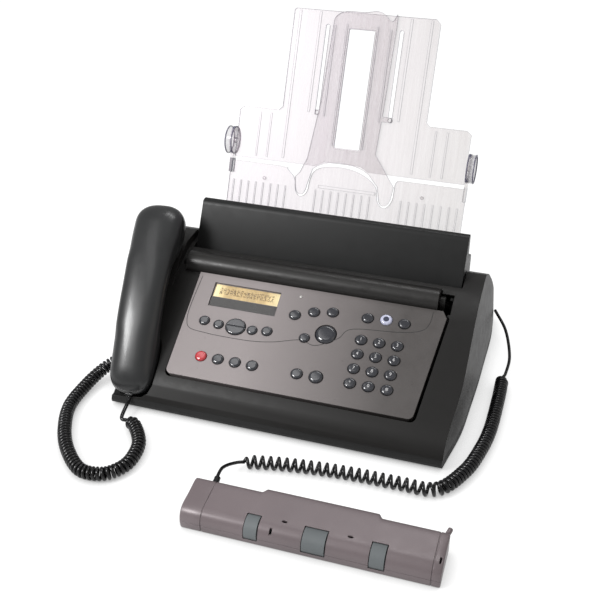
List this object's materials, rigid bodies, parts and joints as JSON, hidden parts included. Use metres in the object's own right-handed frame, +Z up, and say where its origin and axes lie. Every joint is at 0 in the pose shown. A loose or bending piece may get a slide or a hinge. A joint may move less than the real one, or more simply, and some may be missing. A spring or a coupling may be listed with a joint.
{
  "type": "fax machine",
  "caption": "Desktop fax telephone with a tilted key panel, coiled-cord handset, hinged rear cover, clear leaning paper support and a corded hand scanner.",
  "frame": {"origin": "middle of the whole object's footprint, at table level", "axes": "+X to the user's right, +Y from the user towards the back, +Z up"},
  "size_m": [0.4442, 0.4743, 0.3467],
  "materials": {
    "base_plastic": "fine moulded grain",
    "case_plastic": "satin metallic charcoal, fine grain",
    "panel_plastic": "satin metallic warm grey",
    "cover_plastic": "satin near black",
    "handset_plastic": "soft satin dark grey",
    "key_plastic": "glossy black",
    "stop_key_plastic": "glossy dark red",
    "ring_key_plastic": "pale ring with a dark middle",
    "window_plastic": "clear lens",
    "lcd_glass": "amber display",
    "circuit_board": "solder resist",
    "clear_plastic": "clear moulded polystyrene",
    "capsule_black": "moulded",
    "switch_plastic": "moulded",
    "cord_pvc": "glossy black jacket",
    "scanner_plastic": "satin mauve grey",
    "roller_rubber": "blue grey rubber",
    "sensor_housing": "moulded, glass strip",
    "platen_rubber": "ground rubber",
    "film_black": "ink film",
    "foot_rubber": "moulded",
    "screw_steel": "zinc plated",
    "motor_steel": "plated can",
    "head_metal": "machined bar"
  },
  "bodies": {
    "base": {"base_case": "base_plastic", "top_case": "case_plastic", "feet": "foot_rubber", "screws": "screw_steel", "main_circuit_board": "circuit_board", "drive_motor": "motor_steel", "print_head": "head_metal", "handset_cord": "cord_pvc", "scanner_cord": "cord_pvc"},
    "control_panel": {"control_panel": "panel_plastic", "display_window": "window_plastic", "lcd_module": "lcd_glass", "panel_circuit_board": "circuit_board"},
    "back_cover": {"back_cover": "cover_plastic"},
    "paper_tray": {"paper_tray": "clear_plastic"},
    "document_support": {"document_support": "clear_plastic"},
    "support_extension": {"support_extension": "clear_plastic"},
    "handset": {"handset_top_shell": "handset_plastic", "handset_bottom_shell": "handset_plastic", "handset_capsules": "capsule_black"},
    "hook_switch": {"hook_switch": "switch_plastic"},
    "hand_scanner": {"scanner_top_case": "scanner_plastic", "scanner_bottom_case": "scanner_plastic", "scanner_sensor": "sensor_housing"},
    "scanner_roller": {"scanner_roller": "roller_rubber"},
    "platen_roller": {"platen_roller": "platen_rubber"},
    "feed_roller": {"feed_roller": "platen_rubber"},
    "film_supply_spool": {"film_supply_spool": "film_black"},
    "film_takeup_spool": {"film_takeup_spool": "film_black"},
    "navigation_rocker": {"navigation_rocker": "key_plastic"},
    "key_1": {"key_1": "key_plastic"},
    "key_2": {"key_2": "key_plastic"},
    "key_3": {"key_3": "key_plastic"},
    "key_4": {"key_4": "key_plastic"},
    "key_5": {"key_5": "key_plastic"},
    "key_6": {"key_6": "key_plastic"},
    "key_7": {"key_7": "key_plastic"},
    "key_8": {"key_8": "key_plastic"},
    "key_9": {"key_9": "key_plastic"},
    "key_star": {"key_star": "key_plastic"},
    "key_0": {"key_0": "key_plastic"},
    "key_hash": {"key_hash": "key_plastic"},
    "function_key_1": {"function_key_1": "key_plastic"},
    "function_key_2": {"function_key_2": "key_plastic"},
    "function_key_3": {"function_key_3": "key_plastic"},
    "function_key_4": {"function_key_4": "key_plastic"},
    "stop_key": {"stop_key": "stop_key_plastic"},
    "memory_key_1": {"memory_key_1": "key_plastic"},
    "memory_key_2": {"memory_key_2": "key_plastic"},
    "memory_key_3": {"memory_key_3": "key_plastic"},
    "option_key_1": {"option_key_1": "key_plastic"},
    "option_key_2": {"option_key_2": "key_plastic"},
    "option_key_3": {"option_key_3": "key_plastic"},
    "help_key": {"help_key": "key_plastic"},
    "start_key": {"start_key": "key_plastic"},
    "speaker_key": {"speaker_key": "key_plastic"},
    "redial_key": {"redial_key": "key_plastic"},
    "line_key_1": {"line_key_1": "key_plastic"},
    "message_key": {"message_key": "ring_key_plastic"},
    "line_key_2": {"line_key_2": "key_plastic"}
  },
  "joints": [
    {"name": "back_cover_open", "type": "hinge", "parent": "base", "child": "back_cover", "pos_m": [0.008, 0.13315, 0.096], "axis": [-1, 0, 0], "range_deg": [0, 45]},
    {"name": "control_panel_open", "type": "hinge", "parent": "base", "child": "control_panel", "pos_m": [0.0008, 0.05015, 0.1038], "axis": [-1, 0, 0], "range_deg": [0, 55]},
    {"name": "document_support_fold", "type": "hinge", "parent": "paper_tray", "child": "document_support", "pos_m": [0.0081, 0.16907, 0.20328], "axis": [1, 0, 0], "range_deg": [0, 110]},
    {"name": "extension_slide", "type": "slide", "parent": "document_support", "child": "support_extension", "axis": [0, 0.4337, 0.9011], "range_m": [0, 0.06]},
    {"name": "hand_scanner_slide", "type": "slide", "parent": "base", "child": "hand_scanner", "axis": [0, -1, 0], "range_m": [0, 0.08]},
    {"name": "handset_lift", "type": "slide", "parent": "base", "child": "handset", "axis": [0.0856, -0.6524, 0.753], "range_m": [0, 0.06]},
    {"name": "hook_switch_travel", "type": "slide", "parent": "base", "child": "hook_switch", "axis": [0.0856, -0.6524, 0.753], "range_m": [0, 0.003]},
    {"name": "paper_tray_lift", "type": "slide", "parent": "back_cover", "child": "paper_tray", "axis": [0, 0.4337, 0.9011], "range_m": [0, 0.08]},
    {"name": "platen_roller_turn", "type": "hinge", "parent": "base", "child": "platen_roller", "pos_m": [0.0079, 0.07615, 0.084], "axis": [1, 0, 0], "continuous": true},
    {"name": "feed_roller_turn", "type": "hinge", "parent": "base", "child": "feed_roller", "pos_m": [0.0079, 0.10115, 0.083], "axis": [1, 0, 0], "continuous": true},
    {"name": "film_supply_turn", "type": "hinge", "parent": "base", "child": "film_supply_spool", "pos_m": [0.0079, 0.10165, 0.124], "axis": [1, 0, 0], "continuous": true},
    {"name": "film_takeup_turn", "type": "hinge", "parent": "base", "child": "film_takeup_spool", "pos_m": [0.0079, 0.08665, 0.1035], "axis": [1, 0, 0], "continuous": true},
    {"name": "scanner_roller_turn", "type": "hinge", "parent": "hand_scanner", "child": "scanner_roller", "pos_m": [0.0819, -0.22595, 0.0117], "axis": [1, 0, 0], "continuous": true},
    {"name": "press_navigation_rocker", "type": "hinge", "parent": "control_panel", "child": "navigation_rocker", "pos_m": [-0.0635, -0.01227, 0.06873], "axis": [1, 0, 0], "range_deg": [-4, 4], "stiffness_Nm_per_rad": 0.02},
    {"name": "press_key_1", "type": "slide", "parent": "control_panel", "child": "key_1", "axis": [0, 0.4959, -0.8684], "range_m": [0, 0.001], "stiffness_N_per_m": 300},
    {"name": "press_key_2", "type": "slide", "parent": "control_panel", "child": "key_2", "axis": [0, 0.4959, -0.8684], "range_m": [0, 0.001], "stiffness_N_per_m": 300},
    {"name": "press_key_3", "type": "slide", "parent": "control_panel", "child": "key_3", "axis": [0, 0.4959, -0.8684], "range_m": [0, 0.001], "stiffness_N_per_m": 300},
    {"name": "press_key_4", "type": "slide", "parent": "control_panel", "child": "key_4", "axis": [0, 0.4959, -0.8684], "range_m": [0, 0.001], "stiffness_N_per_m": 300},
    {"name": "press_key_5", "type": "slide", "parent": "control_panel", "child": "key_5", "axis": [0, 0.4959, -0.8684], "range_m": [0, 0.001], "stiffness_N_per_m": 300},
    {"name": "press_key_6", "type": "slide", "parent": "control_panel", "child": "key_6", "axis": [0, 0.4959, -0.8684], "range_m": [0, 0.001], "stiffness_N_per_m": 300},
    {"name": "press_key_7", "type": "slide", "parent": "control_panel", "child": "key_7", "axis": [0, 0.4959, -0.8684], "range_m": [0, 0.001], "stiffness_N_per_m": 300},
    {"name": "press_key_8", "type": "slide", "parent": "control_panel", "child": "key_8", "axis": [0, 0.4959, -0.8684], "range_m": [0, 0.001], "stiffness_N_per_m": 300},
    {"name": "press_key_9", "type": "slide", "parent": "control_panel", "child": "key_9", "axis": [0, 0.4959, -0.8684], "range_m": [0, 0.001], "stiffness_N_per_m": 300},
    {"name": "press_key_star", "type": "slide", "parent": "control_panel", "child": "key_star", "axis": [0, 0.4959, -0.8684], "range_m": [0, 0.001], "stiffness_N_per_m": 300},
    {"name": "press_key_0", "type": "slide", "parent": "control_panel", "child": "key_0", "axis": [0, 0.4959, -0.8684], "range_m": [0, 0.001], "stiffness_N_per_m": 300},
    {"name": "press_key_hash", "type": "slide", "parent": "control_panel", "child": "key_hash", "axis": [0, 0.4959, -0.8684], "range_m": [0, 0.001], "stiffness_N_per_m": 300},
    {"name": "press_function_key_1", "type": "slide", "parent": "control_panel", "child": "function_key_1", "axis": [0, 0.4959, -0.8684], "range_m": [0, 0.001], "stiffness_N_per_m": 300},
    {"name": "press_function_key_2", "type": "slide", "parent": "control_panel", "child": "function_key_2", "axis": [0, 0.4959, -0.8684], "range_m": [0, 0.001], "stiffness_N_per_m": 300},
    {"name": "press_function_key_3", "type": "slide", "parent": "control_panel", "child": "function_key_3", "axis": [0, 0.4959, -0.8684], "range_m": [0, 0.001], "stiffness_N_per_m": 300},
    {"name": "press_function_key_4", "type": "slide", "parent": "control_panel", "child": "function_key_4", "axis": [0, 0.4959, -0.8684], "range_m": [0, 0.001], "stiffness_N_per_m": 300},
    {"name": "press_stop_key", "type": "slide", "parent": "control_panel", "child": "stop_key", "axis": [0, 0.4959, -0.8684], "range_m": [0, 0.001], "stiffness_N_per_m": 300},
    {"name": "press_memory_key_1", "type": "slide", "parent": "control_panel", "child": "memory_key_1", "axis": [0, 0.4959, -0.8684], "range_m": [0, 0.001], "stiffness_N_per_m": 300},
    {"name": "press_memory_key_2", "type": "slide", "parent": "control_panel", "child": "memory_key_2", "axis": [0, 0.4959, -0.8684], "range_m": [0, 0.001], "stiffness_N_per_m": 300},
    {"name": "press_memory_key_3", "type": "slide", "parent": "control_panel", "child": "memory_key_3", "axis": [0, 0.4959, -0.8684], "range_m": [0, 0.001], "stiffness_N_per_m": 300},
    {"name": "press_option_key_1", "type": "slide", "parent": "control_panel", "child": "option_key_1", "axis": [0, 0.4959, -0.8684], "range_m": [0, 0.001], "stiffness_N_per_m": 300},
    {"name": "press_option_key_2", "type": "slide", "parent": "control_panel", "child": "option_key_2", "axis": [0, 0.4959, -0.8684], "range_m": [0, 0.001], "stiffness_N_per_m": 300},
    {"name": "press_option_key_3", "type": "slide", "parent": "control_panel", "child": "option_key_3", "axis": [0, 0.4959, -0.8684], "range_m": [0, 0.001], "stiffness_N_per_m": 300},
    {"name": "press_help_key", "type": "slide", "parent": "control_panel", "child": "help_key", "axis": [0, 0.4959, -0.8684], "range_m": [0, 0.001], "stiffness_N_per_m": 300},
    {"name": "press_start_key", "type": "slide", "parent": "control_panel", "child": "start_key", "axis": [0, 0.4959, -0.8684], "range_m": [0, 0.001], "stiffness_N_per_m": 300},
    {"name": "press_speaker_key", "type": "slide", "parent": "control_panel", "child": "speaker_key", "axis": [0, 0.4959, -0.8684], "range_m": [0, 0.001], "stiffness_N_per_m": 300},
    {"name": "press_redial_key", "type": "slide", "parent": "control_panel", "child": "redial_key", "axis": [0, 0.4959, -0.8684], "range_m": [0, 0.001], "stiffness_N_per_m": 300},
    {"name": "press_line_key_1", "type": "slide", "parent": "control_panel", "child": "line_key_1", "axis": [0, 0.4959, -0.8684], "range_m": [0, 0.001], "stiffness_N_per_m": 300},
    {"name": "press_message_key", "type": "slide", "parent": "control_panel", "child": "message_key", "axis": [0, 0.4959, -0.8684], "range_m": [0, 0.001], "stiffness_N_per_m": 300},
    {"name": "press_line_key_2", "type": "slide", "parent": "control_panel", "child": "line_key_2", "axis": [0, 0.4959, -0.8684], "range_m": [0, 0.001], "stiffness_N_per_m": 300}
  ],
  "couplings": [
    {"joint": "hook_switch_travel", "follows": "handset_lift", "ratio": 0.05},
    {"joint": "feed_roller_turn", "follows": "platen_roller_turn", "ratio": 0.94118},
    {"joint": "film_takeup_turn", "follows": "platen_roller_turn", "ratio": 1},
    {"joint": "film_supply_turn", "follows": "platen_roller_turn", "ratio": 0.88889}
  ]
}
